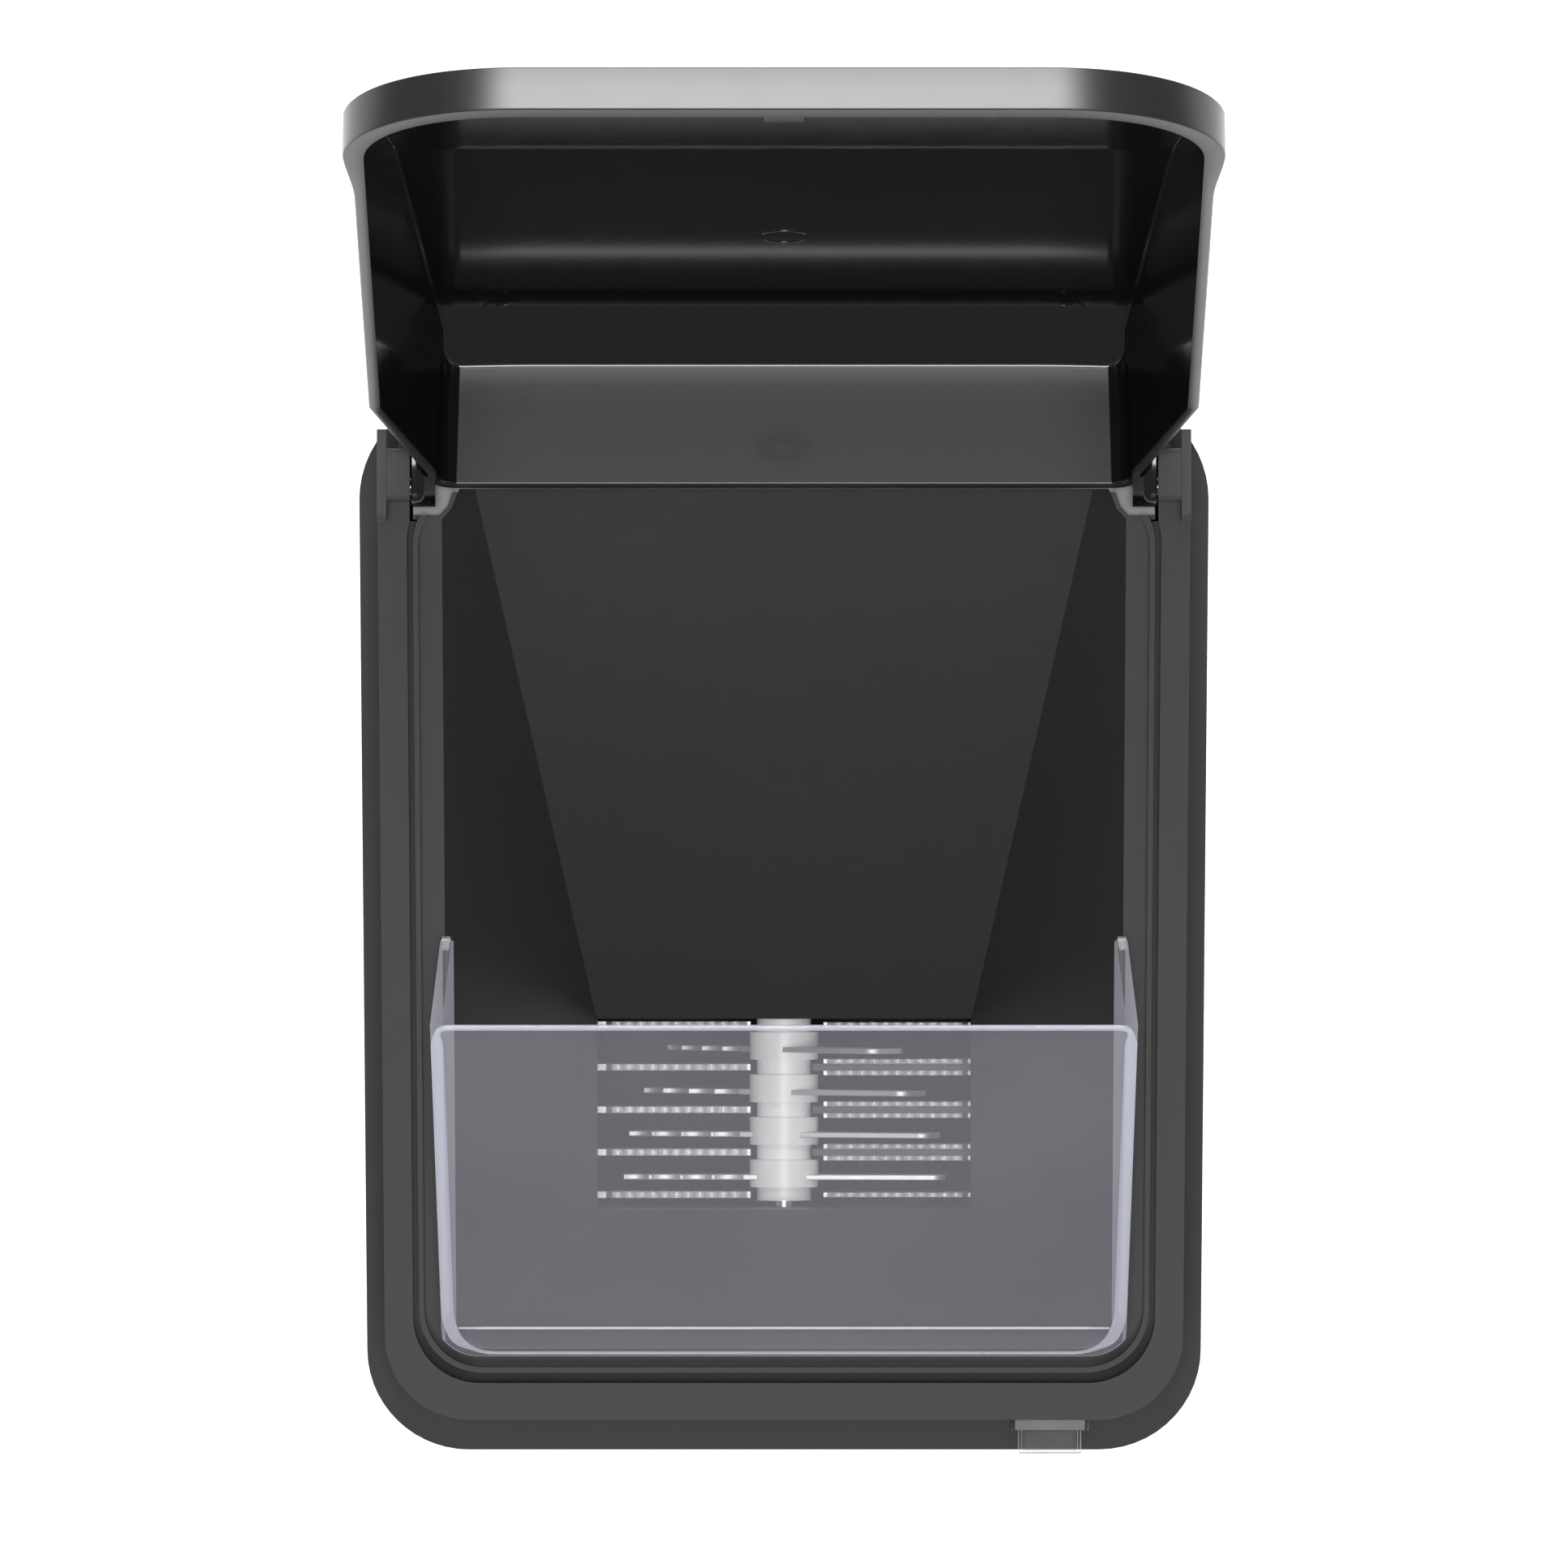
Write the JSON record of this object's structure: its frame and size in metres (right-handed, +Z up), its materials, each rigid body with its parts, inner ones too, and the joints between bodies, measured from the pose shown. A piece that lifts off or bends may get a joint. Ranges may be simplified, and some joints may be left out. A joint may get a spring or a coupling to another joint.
{
  "type": "ice crusher",
  "caption": "Electric countertop ice crusher with a hinged domed lid, sloping hopper, clear splash guard, toothed spindle and a pull-out ice bin.",
  "frame": {"origin": "centre of the footprint on the surface that the feet stand on", "axes": "+Z up, +X to the user's right, +Y to the rear where the lid is hinged"},
  "size_m": [0.227, 0.3668, 0.6593],
  "materials": {
    "housing_plastic": "fine satin texture",
    "frame_plastic": "satin",
    "hopper_plastic": "satin",
    "lid_plastic": "gloss",
    "clear_plastic": "clear gloss",
    "white_plastic": "satin",
    "stainless_steel": "stamped and brushed",
    "shaft_steel": "ground",
    "rubber": "matt",
    "gear_plastic": "natural acetal",
    "inner_plastic": "matt",
    "motor_steel": "zinc plated",
    "winding": "enamelled copper wire",
    "bronze": "sintered",
    "board": "lacquered",
    "magnet": "ferrite",
    "screw_steel": "zinc plated"
  },
  "bodies": {
    "housing": {"lower_housing": "housing_plastic", "base_plate": "inner_plastic", "rubber_feet": "rubber", "foot_screws": "screw_steel", "inlet_socket": "inner_plastic", "top_frame": "frame_plastic", "left_hinge_block": "frame_plastic", "right_hinge_block": "frame_plastic", "hinge_pins": "shaft_steel", "hopper": "hopper_plastic", "splash_guard": "clear_plastic", "comb_spacers": "inner_plastic", "comb_tie_rods": "shaft_steel", "crusher_chamber": "inner_plastic", "front_bush": "bronze", "rear_bush": "bronze", "ice_chute": "inner_plastic", "idler_axle": "shaft_steel", "gearbox_case": "inner_plastic", "gearbox_cover": "motor_steel", "gearbox_screws": "screw_steel", "motor_case": "motor_steel", "motor_stator": "winding", "motor_bearings": "bronze", "motor_cradle": "inner_plastic", "control_board": "board", "reed_switch": "inner_plastic", "switch_housing": "frame_plastic", "switch_cap": "clear_plastic", "bin_bay": "inner_plastic", "left_comb_1": "stainless_steel", "left_comb_2": "stainless_steel", "left_comb_3": "stainless_steel", "left_comb_4": "stainless_steel", "left_comb_5": "stainless_steel", "right_comb_1": "stainless_steel", "right_comb_2": "stainless_steel", "right_comb_3": "stainless_steel", "right_comb_4": "stainless_steel", "right_comb_5": "stainless_steel"},
    "lid": {"lid_shell": "lid_plastic", "lid_magnet": "magnet"},
    "crusher": {"crusher_arm_1": "stainless_steel", "crusher_arm_2": "stainless_steel", "crusher_arm_3": "stainless_steel", "crusher_arm_4": "stainless_steel", "crusher_spindle": "white_plastic", "drive_shaft": "shaft_steel", "spindle_clip": "shaft_steel", "output_gear": "gear_plastic"},
    "idler": {"idler_gear": "gear_plastic"},
    "rotor": {"motor_pinion": "shaft_steel", "rotor_core": "motor_steel", "motor_shaft": "shaft_steel", "cooling_fan": "inner_plastic"},
    "switch_rocker": {"rocker": "housing_plastic"},
    "bin": {"ice_bin": "clear_plastic", "bin_front": "frame_plastic"}
  },
  "joints": [
    {"name": "lid_hinge", "type": "hinge", "parent": "housing", "child": "lid", "pos_m": [0, 0.118, 0.409], "axis": [1, 0, 0], "range_deg": [0, 128.6]},
    {"name": "crusher_spin", "type": "hinge", "parent": "housing", "child": "crusher", "pos_m": [0, -0.05, 0.24], "axis": [0, 1, 0], "continuous": true},
    {"name": "idler_spin", "type": "hinge", "parent": "housing", "child": "idler", "pos_m": [0, -0.01, 0.205], "axis": [0, 1, 0], "continuous": true},
    {"name": "rotor_spin", "type": "hinge", "parent": "housing", "child": "rotor", "pos_m": [0, 0.04, 0.177], "axis": [0, 1, 0], "continuous": true},
    {"name": "rocker_tilt", "type": "hinge", "parent": "housing", "child": "switch_rocker", "pos_m": [0.0722, -0.1339, 0.3098], "axis": [0, 0, 1], "range_deg": [0, 16]},
    {"name": "bin_slide", "type": "slide", "parent": "housing", "child": "bin", "axis": [0, -1, 0], "range_m": [0, 0.115]}
  ],
  "couplings": [
    {"joint": "idler_spin", "follows": "crusher_spin", "ratio": -3},
    {"joint": "rotor_spin", "follows": "crusher_spin", "ratio": 9}
  ]
}
